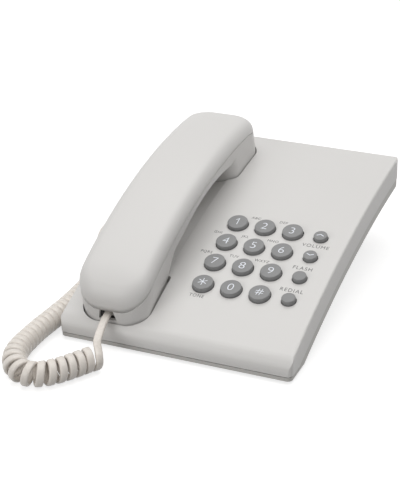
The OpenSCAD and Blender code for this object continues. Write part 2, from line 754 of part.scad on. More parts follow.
module hook_switch() color([0.15, 0.3, 0.2])
    in_handset() translate([0, hook_u, base_w_at(hook_u, well_depth) - hook_board_drop]) {
        translate([-hook_contact[0] / 2, -hook_contact[1] / 2, 0])
            cube([hook_contact[0], hook_contact[1], hook_board_drop - hook_l - rest_gap]);
        translate([-hook_board_left, -hook_board[1] / 2, -hook_board_h])
            cube([hook_board[0], hook_board[1], hook_board_h]);
    }

module buzzer() color([0.1, 0.1, 0.1])
    translate([buzzer_at[0], buzzer_at[1], foot_h + wall + seam_gap]) difference() {
        cylinder(r = buzzer_r, h = buzzer_h, $fn = 96);
        translate([0, 0, buzzer_h - buzzer_port_l]) cylinder(r = buzzer_port_r, h = 3, $fn = round_fn);
    }

// A socket block with a square way in from its front, which faces -X before it is turned
module socket(length, width, top, bottom, way_w, way_h, way_l)
    difference() {
        block([0, length], [-width / 2, width / 2], [-bottom, top]);
        translate([-1, -way_w / 2, -way_h / 2]) cube([way_l + 1, way_w, way_h]);
    }

module line_jack() color([0.15, 0.15, 0.15])
    on_top(line_jack_x, inner_back_y - floor_depth * sin(top_tilt(inner_back_y)), rear_depth)
        rotate([0, 0, -90])
            socket(line_jack_l, line_jack_w, line_jack_top, floor_depth - rear_depth - floor_gap,
                line_way[0], line_way[1], line_way[2]);

module base_cord_jack() color([0.15, 0.15, 0.15])
    on_top(-base_w / 2 + band_inset + wall + seam_gap, cord_jack_y, cord_jack_depth)
        socket(cord_jack_l, cord_jack_w, cord_jack_top, floor_depth - cord_jack_depth - floor_gap,
            plug_w + 2 * jack_gap, plug_h + 2 * jack_gap, plug_l - 1);

module rear_switch(x, travel)
    on_top(x, base_d / 2 - wall / 2, rear_depth) {
        half = (knob_w + travel) / 2 + knob_lip + 1;
        face = knob_lip_y + knob_lip_t + switch_gap;
        block([-half, half], [-face - switch_t, -face],
            [rear_depth + floor_gap - floor_depth, knob_h / 2 + 1.1]);
    }

// A slide knob at the left end of its slot, flush with the rear wall
module rear_knob(x, travel)
    on_top(x - travel / 2, base_d / 2 - wall / 2, rear_depth) {
        block([-knob_w / 2, knob_w / 2], [-knob_lip_y - knob_lip_t, knob_out], [-knob_h / 2, knob_h / 2]);
        block([-knob_w / 2 - knob_lip, knob_w / 2 + knob_lip],
            [-knob_lip_y - knob_lip_t, -knob_lip_y], [-knob_h / 2 - 1, knob_h / 2 + 1]);
    }

module ringer_switch() color([0.2, 0.2, 0.2]) rear_switch(ringer_x, ringer_travel);
module ringer_knob() color([0.5, 0.5, 0.5]) rear_knob(ringer_x, ringer_travel);
module dial_mode_switch() color([0.2, 0.2, 0.2]) rear_switch(dial_mode_x, dial_mode_travel);
module dial_mode_knob() color([0.5, 0.5, 0.5]) rear_knob(dial_mode_x, dial_mode_travel);

// ---------- handset ----------

module handset_upper_shell() color([0.87, 0.86, 0.84]) in_handset() difference() {
    union() {
        difference() {
            shell_form(0, hs_seam / 2);
            shell_form(hs_wall, -3);
        }
        for (u = hs_screw_u)
            translate([0, u, base_w_at(u, block_depth) + hs_screw_sunk + pad_h + seam_gap])
                cylinder(r = hs_boss_r, h = crown_w(u) - 1.4 - base_w_at(u, block_depth) - hs_screw_sunk
                    - pad_h - seam_gap, $fn = round_fn);
    }
    for (u = hs_screw_u) translate([0, u, -20])
        cylinder(r = screw_r + 0.05, h = 20 + base_w_at(u, block_depth) + hs_screw_l + 2.5, $fn = round_fn);
}

// Prism across the handset over a side view
module side_prism(points)
    rotate([90, 0, 90]) translate([0, 0, -hs_w]) linear_extrude(2 * hs_w) polygon(points);

// Side view of a block's underside, moved inwards by t
function under_points(u1, u2, t) =
    [for (k = [0:10]) let (u = u1 + (u2 - u1) * k / 10) [u, base_w_at(u, block_depth) + t]];

// What the mouth end's leaning sides leave out, moved inwards by t
module draft_cut(t)
    for (side = [-1, 1])
        translate([side * hs_w / 2, draft_u, seam_w(draft_u)]) rotate([draft_tilt, 0, 0])
            rotate([0, side * mouth_draft, 0]) translate([0, 0, -50]) linear_extrude(50)
                polygon([for (p = [[20, -hs_half], [20, draft_fade_u[1]], [draft_fade_w - t, draft_fade_u[1]],
                    [-t, draft_fade_u[0]], [-t, -hs_half]]) [side * p[0], p[1]]]);

// The lower shell as if it were solid, moved inwards by t and then open at the top
module lower_form(t) {
    lift = t > 0 ? 30 : -hs_seam / 2;
    slab_end_u = ear_front_u + block_corner_r + 4;
    intersection() {
        side_prism(concat([[hs_half + 2, -40], [hs_half + 2, seam_w(hs_half) + lift]],
            [for (k = [60:-1:0]) let (u = hs_half * (k - 30) / 30) [u, seam_w(u) + lift]],
            [[-hs_half - 2, seam_w(-hs_half) + lift], [-hs_half - 2, -40]]));
        union() {
            difference() {
                intersection() {
                    side_prism(concat([[-hs_half - 1, 70], [slab_end_u, 70]],
                        [for (k = [0:28]) let (u = slab_end_u + (mouth_slope_u - slab_end_u) * k / 28)
                            [u, grip_w(u) + t]],
                        under_points(mouth_back_u - 3 - t, -hs_half - 1, t)));
                    translate([0, 0, -40]) linear_extrude(120)
                        rounded_rect([hs_w - 2 * t, hs_len - 2 * t], hs_corner_r - t);
                }
                draft_cut(t);
            }
            intersection() {
                translate([0, 0, -40]) linear_extrude(120)
                    end_plan(ear_front_u + t, hs_half - t, hs_w / 2 - t, block_corner_r - t, hs_corner_r - t);
                side_prism(concat([[hs_half + 1, 70], [ear_front_u - 1, 70]],
                    under_points(ear_front_u - 1, hs_half + 1, t)));
            }
        }
    }
}

module handset_lower_shell() color([0.85, 0.84, 0.82]) difference() {
    in_handset() difference() {
        union() {
            difference() {
                lower_form(0);
                lower_form(hs_wall);
            }
            for (u = hs_screw_u) translate([0, u, base_w_at(u, block_depth) + 0.6])
                cylinder(r = hs_boss_foot_r, h = hs_screw_sunk - 0.6 + pad_h, $fn = round_fn);
        }
        for (u = hs_screw_u) translate([0, u, base_w_at(u, block_depth) - 3]) {
            cylinder(r = screw_head_r + 0.3, h = 3 + hs_screw_sunk, $fn = round_fn);
            cylinder(r = screw_r + 0.25, h = 20, $fn = round_fn);
        }
        translate([hs_jack_x, -hs_half + hs_wall + 0.5, 0]) rotate([90, 0, 0]) linear_extrude(10)
            polygon([[-4.5, 5], [4.5, 5], [4.5, 1], [6, hs_plug_w - plug_h / 2 - 0.3],
                [-6, hs_plug_w - plug_h / 2 - 0.3], [-4.5, 1]]);
    }
    for (i = [-2:2]) on_top(-hs_left + ear_slot_pitch * i, earpiece_y, block_depth)
        cube([ear_slot[0], ear_slot[1] - 2 * abs(i), 6], center = true);
    on_top(-hs_left, microphone_y, block_depth) cube([mouth_slot[0], mouth_slot[1], 6], center = true);
}

module earpiece() color([0.15, 0.15, 0.15])
    on_top(-hs_left, earpiece_y, block_depth - hs_wall - 0.3) difference() {
        cylinder(r = earpiece_r, h = earpiece_h, $fn = 96);
        translate([0, 0, earpiece_h - earpiece_dish]) cylinder(r = earpiece_r - earpiece_rim, h = 3, $fn = 96);
    }

module microphone() color([0.6, 0.6, 0.62])
    on_top(-hs_left, microphone_y, block_depth - hs_wall - seam_gap)
        cylinder(r = microphone_r, h = microphone_h, $fn = round_fn);

module handset_weight() color([0.55, 0.55, 0.58])
    in_handset() translate([-weight_size[0] / 2, -weight_size[1] / 2, grip_w(0) + hs_wall + rest_gap])
        cube(weight_size);

module handset_jack() color([0.15, 0.15, 0.15])
    in_handset() translate([hs_jack_x, -hs_half + hs_wall + seam_gap, hs_plug_w]) rotate([0, 0, 90])
        socket(hs_jack_l, cord_jack_w, hs_jack_top, hs_jack_bottom, plug_w + 2 * jack_gap,
            plug_h + 2 * jack_gap, plug_l + 2);

module handset_screws() color([0.7, 0.7, 0.72])
    in_handset() for (u = hs_screw_u) translate([0, u, base_w_at(u, block_depth) + hs_screw_sunk]) {
        cylinder(r = screw_r, h = hs_screw_l, $fn = round_fn);
        translate([0, 0, -hs_screw_head_h])
            cylinder(r = screw_head_r, h = hs_screw_head_h, $fn = round_fn);
    }

// ---------- curly cord ----------

module cord_plug_handset() color([0.8, 0.8, 0.8])
    in_handset() translate([hs_jack_x, hs_plug_u, hs_plug_w])
        block([-plug_w / 2, plug_w / 2], [0, plug_l], [-plug_h / 2, plug_h / 2]);

module cord_plug_base() color([0.8, 0.8, 0.8])
    on_top(-base_w / 2 + 0.6, cord_jack_y, cord_jack_depth)
        block([0, plug_l], [-plug_w / 2, plug_w / 2], [-plug_h / 2, plug_h / 2]);

module cord_tail_handset() color([0.83, 0.8, 0.76]) tube(handset_tail_route, cord_d / 2, 8, [1, 0, 0]);
module cord_tail_base() color([0.83, 0.8, 0.76]) tube(base_tail_route, cord_d / 2, 8, [1, 0, 0]);
module cord_coil() color([0.83, 0.8, 0.76])
    tube([for (p = coil_route) [p[0], p[1], coil_d / 2 + 0.05]], coil_d / 2, 12, [0, 0, 1]);

top_cover();
bottom_cover();
rubber_feet();
case_screws();
main_board();
board_parts();
key_mat();
hook_switch();
hook_plunger();
buzzer();
line_jack();
base_cord_jack();
ringer_switch();
ringer_knob();
dial_mode_switch();
dial_mode_knob();
key_1();
key_2();
key_3();
key_4();
key_5();
key_6();
key_7();
key_8();
key_9();
key_star();
key_0();
key_hash();
key_volume_up();
key_volume_down();
key_flash();
key_redial();
handset_upper_shell();
handset_lower_shell();
earpiece();
microphone();
handset_weight();
handset_jack();
handset_screws();
cord_plug_handset();
cord_tail_handset();
cord_coil();
cord_tail_base();
cord_plug_base();
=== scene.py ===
# Corded desk telephone, dressed for the render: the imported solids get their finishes,
# and the cord, the keys with their print and the outer skins are modelled here.
# Metres. X runs to the right, Y away from the user and Z up.
from math import asin, cos, pi, radians, sin, sqrt, tan

import bmesh
import bpy
from mathutils import Matrix, Vector
from mathutils.bvhtree import BVHTree


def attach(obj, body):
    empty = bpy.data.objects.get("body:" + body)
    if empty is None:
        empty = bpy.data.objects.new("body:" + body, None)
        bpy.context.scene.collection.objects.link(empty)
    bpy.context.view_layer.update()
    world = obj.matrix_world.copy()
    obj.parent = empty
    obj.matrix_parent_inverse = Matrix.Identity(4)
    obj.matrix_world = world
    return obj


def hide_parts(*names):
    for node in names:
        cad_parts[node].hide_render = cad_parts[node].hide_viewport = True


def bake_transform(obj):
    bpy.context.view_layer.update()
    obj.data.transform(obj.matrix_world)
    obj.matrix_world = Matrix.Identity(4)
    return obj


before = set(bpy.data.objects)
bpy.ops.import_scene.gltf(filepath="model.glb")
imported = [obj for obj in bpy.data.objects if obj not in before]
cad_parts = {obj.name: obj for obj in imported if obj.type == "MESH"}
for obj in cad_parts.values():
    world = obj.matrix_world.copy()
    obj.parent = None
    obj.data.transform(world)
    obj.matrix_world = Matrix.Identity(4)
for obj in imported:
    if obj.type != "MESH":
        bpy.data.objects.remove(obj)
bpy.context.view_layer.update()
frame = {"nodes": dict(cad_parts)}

# ---------- camera ----------
# The telephone is seen from its front right, a little from above, through a long lens.
# The three angles are in radians.

camera_place = Vector((0.3289, -0.7892, 0.4628))
camera_yaw, camera_pitch, camera_roll = 0.423508, 0.473594, 0.027855

camera_data = bpy.data.cameras.new("camera")
camera_data.lens = 108.05
camera_data.sensor_width = 36
camera_data.clip_end = 20
camera = bpy.data.objects.new("camera", camera_data)
bpy.context.collection.objects.link(camera)
backwards = Vector((sin(camera_yaw) * cos(camera_pitch), -cos(camera_yaw) * cos(camera_pitch),
                    sin(camera_pitch)))
level_right = (-backwards).cross(Vector((0, 0, 1))).normalized()
level_up = backwards.cross(level_right)
right = cos(camera_roll) * level_right - sin(camera_roll) * level_up
up = cos(camera_roll) * level_up + sin(camera_roll) * level_right
turned = Matrix((right, up, backwards)).transposed().to_4x4()
camera.matrix_world = Matrix.Translation(camera_place) @ turned
bpy.context.scene.camera = camera

# ---------- table and light ----------
# A wide white table top that runs into a white room, both plain white to the camera. One
# large soft lamp hangs overhead, a weaker one fills in from the front left, and the room
# adds an even glow.

bpy.context.scene.view_settings.view_transform = "Standard"


class Value:
    """What comes out of a node. Sums and products with it add Math nodes."""

    def __init__(self, nodes, socket):
        self.nodes, self.socket = nodes, socket

    def math(self, operation, first, second):
        return self.nodes.node("ShaderNodeMath", {"operation": operation}, {0: first, 1: second})

    def __add__(self, other): return self.math("ADD", self, other)
    def __radd__(self, other): return self.math("ADD", other, self)
    def __mul__(self, other): return self.math("MULTIPLY", self, other)
    def __rmul__(self, other): return self.math("MULTIPLY", other, self)


class Nodes:
    """The nodes of a material, or those of the world."""

    def __init__(self, owner):
        owner.use_nodes = True
        self.tree = owner.node_tree

    def node(self, kind, settings={}, inputs={}, output=0):
        new = self.tree.nodes.new(kind)
        for label, choice in settings.items():
            setattr(new, label, choice)
        for label, entry in inputs.items():
            self.feed(new.inputs[label], entry)
        return Value(self, new.outputs[output])

    def feed(self, socket, entry):
        if isinstance(entry, Value):
            self.tree.links.new(entry.socket, socket)
        else:
            socket.default_value = entry

    def show(self, end, plain, seen):
        """Lights the scene with the plain shader, but shows the other to whoever looks on."""
        straight = 0
        for ray in ("Camera", "Glossy", "Transmission"):
            hit = self.node("ShaderNodeLightPath", output=f"Is {ray} Ray")
            straight = hit.math("MAXIMUM", straight, hit)
        self.feed(self.tree.nodes[end].inputs["Surface"],
                  self.node("ShaderNodeMixShader", {}, {0: straight, 1: plain, 2: seen}))


class Finish(Nodes):
    """A material: its colour wanders between two close ones, as its roughness does."""

    def __init__(self, name, **plain):
        self.material = bpy.data.materials.new(name)
        super().__init__(self.material)
        self.shader = self.tree.nodes["Principled BSDF"]
        for label, number in plain.items():
            self.shader.inputs[label].default_value = number
        self.place = self.node("ShaderNodeTexCoord", output="Object")

    def noise(self, scale, detail=2.0):
        return self.node("ShaderNodeTexNoise", {},
                         {"Vector": self.place, "Scale": scale, "Detail": detail})

    def colour(self, first, second, scale, detail=2.0):
        mixed = self.node("ShaderNodeMix", {"data_type": "RGBA"},
                          {0: self.noise(scale, detail), 6: (*first, 1), 7: (*second, 1)}, output=2)
        self.feed(self.shader.inputs["Base Color"], mixed)

    def rough(self, least, more, scale, detail=2.0):
        self.feed(self.shader.inputs["Roughness"], least + more * self.noise(scale, detail))

    def bumps(self, distance, strength, scale, detail=2.0):
        bump = {"Height": self.noise(scale, detail), "Distance": distance, "Strength": strength}
        self.feed(self.shader.inputs["Normal"], self.node("ShaderNodeBump", {}, bump))

    def cover(self, *pieces):
        for piece in pieces:
            piece.data.materials.clear()
            piece.data.materials.append(self.material)


world = bpy.data.worlds.new("studio")
bpy.context.scene.world = world
room = Nodes(world)
room_glow = room.node("ShaderNodeBackground", {}, {"Color": (1.0, 0.99, 0.98, 1), "Strength": 0.33})
room_white = room.node("ShaderNodeBackground", {}, {"Color": (1, 1, 1, 1)})
room.show("World Output", room_glow, room_white)

table_half = 4
table_mesh = bpy.data.meshes.new("table_top")
table_form = bmesh.new()
bmesh.ops.create_grid(table_form, x_segments=1, y_segments=1, size=table_half)
table_form.to_mesh(table_mesh)
table_form.free()
table_top = bpy.data.objects.new("table_top", table_mesh)
bpy.context.collection.objects.link(table_top)

table_white = Finish("table_white", Roughness=0.7)
table_white.colour((0.31, 0.31, 0.31), (0.34, 0.34, 0.34), 3)
table_lit = table_white.node("ShaderNodeBsdfDiffuse", {}, {"Color": (0.5, 0.5, 0.5, 1)})
table_glow = table_white.node("ShaderNodeEmission", {}, {"Strength": 0.72})
table_seen = table_white.node("ShaderNodeAddShader", {}, {0: table_lit, 1: table_glow})
table_plain = Value(table_white, table_white.shader.outputs["BSDF"])
table_white.show("Material Output", table_plain, table_seen)
table_white.cover(table_top)

lamp_aim = Vector((0, 0, 0.03))


def add_lamp(name, place, width, power, tint):
    """A round soft lamp that points at the telephone."""
    lamp_data = bpy.data.lights.new(name, "AREA")
    lamp_data.shape = "DISK"
    lamp_data.size = width
    lamp_data.energy = power
    lamp_data.color = tint
    lamp = bpy.data.objects.new(name, lamp_data)
    bpy.context.collection.objects.link(lamp)
    turned = (Vector(place) - lamp_aim).to_track_quat("Z", "Y").to_matrix().to_4x4()
    lamp.matrix_world = Matrix.Translation(place) @ turned


add_lamp("key_lamp", (0.0, 0.15, 1.5), 2.0, 17.4, (1, 0.995, 0.985))
add_lamp("front_lamp", (-0.7, -1.6, 0.7), 1.0, 7, (1, 0.99, 0.975))

# ---------- curly cord ----------
# Four flat wires in a cream vinyl jacket, wound into a springy coil with a straight tail
# at each end. It leaves the handset's socket, drops to the table in front of the base,
# turns back along the base's left side and climbs to the socket there.

cord_width, cord_thickness = 0.0049, 0.0026
front_coil_d, side_coil_d = 0.0152, 0.0138
front_pitch, side_pitch, bend_stretch = 0.0058, 0.0049, 0.0010
tail_turn_r, table_gap = 0.0048, 0.0001
# Shares of the coil's axis: where its turns get narrower and closer, and where it bends
coil_d_fade, pitch_fade, bend_at, bend_reach = (0.3, 0.6), (0.3, 0.5), 0.33, 0.2
# Steps from one given point to the next, and corners around the jacket
axis_steps, tail_steps, cord_sides = 44, 14, 16

coil_line = [(-0.0385, -0.1285), (-0.042, -0.1335), (-0.045, -0.1385), (-0.0485, -0.1438),
             (-0.0525, -0.1492), (-0.0573, -0.1540), (-0.063, -0.1572), (-0.0695, -0.1575),
             (-0.076, -0.154), (-0.081, -0.148), (-0.0845, -0.14), (-0.086, -0.131),
             (-0.0863, -0.121), (-0.086, -0.11), (-0.085, -0.099), (-0.084, -0.088),
             (-0.0832, -0.077), (-0.083, -0.066), (-0.083, -0.055), (-0.083, -0.045)]
handset_tail = [(-0.0436, -0.0970, 0.0212), (-0.0436, -0.1010, 0.0203), (-0.0433, -0.1065, 0.0183),
                (-0.0424, -0.1130, 0.0158), (-0.0405, -0.1205, 0.0138)]
base_tail = [(-0.0782, -0.0420, 0.0130), (-0.0800, -0.0380, 0.0200), (-0.0830, -0.0320, 0.0265),
             (-0.0852, -0.0240, 0.0310), (-0.0852, -0.0160, 0.0336), (-0.0828, -0.0104, 0.0343),
             (-0.0785, -0.0083, 0.0344), (-0.0746, -0.0081, 0.0344)]


def smooth_line(points, steps):
    """Points on a Catmull-Rom line through the given ones."""
    points = [Vector(p) for p in points]
    ends = [2 * points[0] - points[1]] + points + [2 * points[-1] - points[-2]]
    line = []
    for a, b, c, d in zip(ends, ends[1:], ends[2:], ends[3:]):
        for t in (k / steps for k in range(steps)):
            line.append(0.5 * (2 * b + (c - a) * t + (2 * a - 5 * b + 4 * c - d) * t ** 2
                               + (3 * b - a - 3 * c + d) * t ** 3))
    return line + [points[-1]]


def heading(line, i):
    """The way along a line at one of its points."""
    return (line[min(i + 1, len(line) - 1)] - line[max(i - 1, 0)]).normalized()


def ease(t):
    """Rises smoothly from zero to one while t does."""
    t = min(max(t, 0), 1)
    return t * t * (3 - 2 * t)


def fade(share, start, end):
    """Falls smoothly from one to zero while a share passes from start to end."""
    return ease((end - share) / (end - start))


def wind_coil():
    """The coil's centre points and the direction out of it at each: it starts on its
    outer side going down, and ends on its inner side going up."""
    axis = smooth_line([(x, y, 0) for x, y in coil_line], axis_steps)
    walked = [0]
    for a, b in zip(axis, axis[1:]):
        walked.append(walked[-1] + (b - a).length)
    turns, shares = [0], [w / walked[-1] for w in walked]
    for share, step in zip(shares[1:], (b - a for a, b in zip(walked, walked[1:]))):
        pitch = (side_pitch + (front_pitch - side_pitch) * fade(share, *pitch_fade)
                 + bend_stretch * fade(abs(share - bend_at), 0, bend_reach))
        turns.append(turns[-1] + step / pitch)
    # Stretches the count to a whole number of turns and a half
    whole = (round(turns[-1] - 0.5) + 0.5) / turns[-1]
    centres, outwards = [], []
    for i, (here, turn, share) in enumerate(zip(axis, turns, shares)):
        along = heading(axis, i)
        side = Vector((-along.y, along.x, 0))
        angle = 2 * pi * turn * whole
        out = side * cos(angle) - Vector((0, 0, 1)) * sin(angle)
        coil_d = side_coil_d + (front_coil_d - side_coil_d) * fade(share, *coil_d_fade)
        reach = (coil_d - cord_thickness) / 2
        centres.append(here + Vector((0, 0, coil_d / 2 + table_gap)) + reach * out)
        outwards.append(out)
    return centres, outwards


def carry(line, out):
    """The way the flat side faces along a line, carried on from its start without a twist."""
    outwards = []
    for i in range(len(line)):
        along = heading(line, i)
        out = (out - out.dot(along) * along).normalized()
        outwards.append(out)
    return outwards


def lay_tail(points, start_out, end_out):
    """A straight end of the cord: its centre points, and the way its flat side faces."""
    line = smooth_line(points, tail_steps)
    ahead, back = carry(line, Vector(start_out)), carry(line[::-1], Vector(end_out))[::-1]
    shares = [ease(i / (len(line) - 1)) for i in range(len(line))]
    return line, [((1 - e) * a + e * b).normalized() for e, a, b in zip(shares, ahead, back)]


def sweep_cord(line, outwards):
    """A flat cord with rounded edges along a line, closed at both ends."""
    form = bmesh.new()
    rings = []
    for i, centre in enumerate(line):
        along = heading(line, i)
        out = (outwards[i] - outwards[i].dot(along) * along).normalized()
        across = along.cross(out)
        ring = []
        for angle in (2 * pi * (k + 0.5) / cord_sides for k in range(cord_sides)):
            sideways = (cord_width - cord_thickness) / 2 * (1 if cos(angle) > 0 else -1)
            ring.append(form.verts.new(centre + across * (sideways + cord_thickness / 2 * cos(angle))
                                       + out * cord_thickness / 2 * sin(angle)))
        rings.append(ring)
    for last, ring in zip(rings, rings[1:]):
        for k in range(cord_sides):
            after = (k + 1) % cord_sides
            form.faces.new((last[k], last[after], ring[after], ring[k]))
    form.faces.new(rings[0][::-1])
    form.faces.new(rings[-1])
    bmesh.ops.recalc_face_normals(form, faces=form.faces)
    return form


coil_centres, coil_outs = wind_coil()
tail_heading = (coil_centres[0] - Vector(handset_tail[-1])).to_2d().normalized().to_3d()
tail_turn = [coil_centres[0] + tail_turn_r * (Vector((0, 0, sin(a))) - (1 - cos(a)) * tail_heading)
             for a in (radians(90), radians(45))]
# Each tail is laid through three points of the coil, and then ends where the coil starts
lap_stride = 6
lap, lapped = 2 * lap_stride, 2 * tail_steps + 1
first_centres, first_outs = lay_tail(handset_tail + tail_turn + coil_centres[:lap + 1:lap_stride],
                                     (0, 0, 1), coil_outs[lap])
last_centres, last_outs = lay_tail(coil_centres[-lap - 1::lap_stride] + base_tail,
                                   coil_outs[-lap - 1], (0, 0, 1))
cord_line = first_centres[:-lapped] + coil_centres + last_centres[lapped:]
cord_outs = first_outs[:-lapped] + coil_outs + last_outs[lapped:]
cord_length = sum((b - a).length for a, b in zip(cord_line, cord_line[1:]))


def make_piece(name, form, body, replaced=(), sharp=35):
    """Turns a finished bmesh into a piece that rides on a body."""
    mesh = bpy.data.meshes.new(name)
    form.to_mesh(mesh)
    form.free()
    mesh.shade_smooth()
    mesh.set_sharp_from_angle(angle=radians(sharp))
    piece = bpy.data.objects.new(name, mesh)
    bpy.context.collection.objects.link(piece)
    if body:
        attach(piece, body)
    if replaced:
        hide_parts(*replaced)
    return piece


curly_cord = make_piece("curly_cord", sweep_cord(cord_line, cord_outs), None,
                        ("cord_tail_handset", "cord_coil", "cord_tail_base"), 60)
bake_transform(curly_cord)

cord_vinyl = Finish("cord_vinyl")
cord_vinyl.colour((0.76, 0.71, 0.655), (0.81, 0.765, 0.715), 60, 3)
cord_vinyl.rough(0.22, 0.1, 220)
cord_vinyl.bumps(0.00004, 0.4, 900, 3)
cord_vinyl.cover(curly_cord)

plug_clear = Finish("plug_clear", Roughness=0.15)
plug_clear.colour((0.55, 0.56, 0.55), (0.68, 0.69, 0.68), 400)
plug_clear.cover(frame["nodes"]["cord_plug_handset"], frame["nodes"]["cord_plug_base"])

# ---------- covers of the base ----------
# Two thin mouldings of warm white plastic with a fine, satin texture, both bent around
# one axis that runs from side to side. The top cover carries the cradle and the keys,
# and the bottom cover stands a little inside it.

bend_radius, level_y, middle_z = 0.680, 0.140, 0.045
bend_z = middle_z - sqrt(bend_radius ** 2 - level_y ** 2)
half_width, cover_edge_r, cover_edge_steps = 0.075, 0.0015, 6
# The stretch of the sides between the round corners, the strip cut inside the edge, and
# how far above the arc a corner of a rough edge may lie
side_run, side_strip, edge_slack = (-0.080, 0.095), 0.0004, 0.0001


def cut_all(form, place, normal):
    """Cuts every face that a plane crosses, and keeps both sides."""
    bmesh.ops.bisect_plane(form, geom=form.verts[:] + form.edges[:] + form.faces[:],
                           plane_co=place, plane_no=normal)


def skin_of(node, name, body, soften=0.0003, sharp=40, flats=True, reshape=None):
    """A piece made from a solid's mesh: doubles merged, flats evened and edges softened."""
    form = bmesh.new()
    form.from_mesh(frame["nodes"][node].data)
    bmesh.ops.remove_doubles(form, verts=form.verts, dist=0.000002)
    if reshape:
        reshape(form)
    piece = make_piece(name, form, body, (node,), sharp)
    if soften:
        softened = piece.modifiers.new("softened", "BEVEL")
        softened.width = soften
        softened.segments = 2
        softened.limit_method = "ANGLE"
        softened.angle_limit = radians(sharp)
    if flats:
        evened = piece.modifiers.new("evened", "WEIGHTED_NORMAL")
        evened.keep_sharp = True
    return piece


def even_side_edges(form):
    """Cuts the rounded edges at both sides into even strips and sets these on the true arc."""
    inner_x = half_width - cover_edge_r
    turns = [pi / 2 * k / cover_edge_steps for k in range(cover_edge_steps)]
    # Where the arc's evenly turned spokes cross the straight chamfer between its ends
    cuts = [-side_strip] + [cover_edge_r * tan(a) / (1 + tan(a)) for a in turns]
    for side in (-1, 1):
        for cut in cuts:
            cut_all(form, (side * (inner_x + cut), 0, 0), (1, 0, 0))
    for vertex in form.verts:
        x, y, z = vertex.co
        arm = Vector((y - level_y, z - bend_z))
        depth = bend_radius - arm.length
        in_run = side_run[0] < y < side_run[1]
        if in_run and abs(x) > inner_x and -edge_slack < depth < cover_edge_r:
            spoke = Vector((abs(x) - inner_x, cover_edge_r - depth)).normalized() * cover_edge_r
            arm *= (bend_radius - cover_edge_r + spoke.y) / arm.length
            vertex.co = ((inner_x + spoke.x) * (1 if x > 0 else -1), level_y + arm.x, bend_z + arm.y)


top_cover = skin_of("top_cover", "top_cover_moulding", "base", reshape=even_side_edges)
bottom_cover = skin_of("bottom_cover", "bottom_cover_moulding", "base")

housing_plastic = Finish("housing_plastic")
housing_plastic.colour((0.680, 0.671, 0.660), (0.700, 0.692, 0.681), 14, 3)
housing_plastic.rough(0.36, 0.12, 1400)
housing_plastic.bumps(0.00002, 0.5, 2600)
housing_plastic.cover(top_cover)

# The bottom cover is the same plastic as the top, made darker here: painted shade for its band, which
# sits under the top cover's edge and faces sideways
painted_shade_plastic = Finish("painted_shade_plastic")
painted_shade_plastic.colour((0.545, 0.535, 0.515), (0.575, 0.565, 0.545), 14, 3)
painted_shade_plastic.rough(0.42, 0.12, 1400)
painted_shade_plastic.bumps(0.00002, 0.5, 2600)
painted_shade_plastic.cover(bottom_cover)

# ---------- keys ----------
# Sixteen grey buttons, each one moulding: a round cap with a low crown and a softened
# rim, a flange that keeps it under the cover, and a stem that stands on the rubber mat.
# Pale marks are printed on the crowns.

key_field_y, key_left, key_step_x, key_step_v = -0.0322, 0.0018, 0.0184, 0.0194
# Rows count from the front and columns from the left, both from zero
middle_row, small_column = 1.5, 3
key_field_lean = asin((level_y - key_field_y) / bend_radius)
dial_key_r, small_key_r, dial_stem_r, small_stem_r, stem_l = 0.00645, 0.0043, 0.0025, 0.0018, 0.0015
key_proud, key_rim, key_crown, key_rings, key_sides = 0.003, 0.0006, 0.0002, 6, 72
key_flange, key_flange_t, cover_wall, key_play = 0.0013, 0.001, 0.0023, 0.0003
# The outer rows lean the most against the cover's bend
outer_lean = middle_row * key_step_v / bend_radius
key_sink = cover_wall + key_play + (dial_key_r + key_flange) * outer_lean


def top_at(x, y, lift=0.0):
    """A point on the bent top surface, or a little off it."""
    lean = asin((level_y - y) / bend_radius)
    reach = bend_radius + lift
    return Vector((x, level_y - reach * sin(lean), bend_z + reach * cos(lean)))


def key_place(row, column):
    """The frame at the middle of a key, on the cover, with +Z out of it."""
    v = (row - middle_row) * key_step_v
    drop = bend_radius - sqrt(bend_radius ** 2 - v ** 2)
    field = Matrix.Translation(top_at(0, key_field_y)) @ Matrix.Rotation(key_field_lean, 4, "X")
    return field @ Matrix.Translation((key_left + column * key_step_x, v, -drop))


def key_radius(column):
    return dial_key_r if column < small_column else small_key_r


def crown_drop(x, y, radius):
    """How far the crown has fallen from its middle."""
    return key_crown * (x * x + y * y) / radius ** 2


def make_key(name, row, column):
    """A key turned from its profile, which runs from the stem's foot to the crown's middle."""
    radius = key_radius(column)
    stem = dial_stem_r if column < small_column else small_stem_r
    under = -key_sink - key_flange_t
    rim = radius - key_rim
    rim_z = key_proud - crown_drop(rim, 0, radius)
    profile = [(0, under - stem_l), (stem, under - stem_l), (stem, under), (radius + key_flange, under),
               (radius + key_flange, -key_sink), (radius, -key_sink), (radius, rim_z - key_rim)]
    profile += [(rim + key_rim * cos(a), rim_z - key_rim + key_rim * sin(a))
                for a in (pi / 2 * k / key_rings for k in range(1, key_rings))]
    profile += [(r, key_proud - crown_drop(r, 0, radius))
                for r in (rim * (1 - k / key_rings) for k in range(key_rings + 1))]
    form = bmesh.new()
    corners = [form.verts.new((r, 0, z)) for r, z in profile]
    edges = [form.edges.new(pair) for pair in zip(corners, corners[1:])]
    bmesh.ops.spin(form, geom=corners + edges, cent=(0, 0, 0), axis=(0, 0, 1), angle=2 * pi,
                   steps=key_sides, use_merge=True)
    bmesh.ops.remove_doubles(form, verts=form.verts, dist=0.000001)
    bmesh.ops.recalc_face_normals(form, faces=form.faces)
    bmesh.ops.transform(form, matrix=key_place(row, column), verts=form.verts)
    return make_piece(name + "_cap", form, name, (name,), 40)


# Half the thickness of a printed mark, how deep it sits in what it is printed on, and the
# width and number of the strips in which it bends over a key, to each side of the middle
ink_half_t, ink_sunk, ink_strip, ink_strips = 0.00004, 0.00001, 0.0005, 7
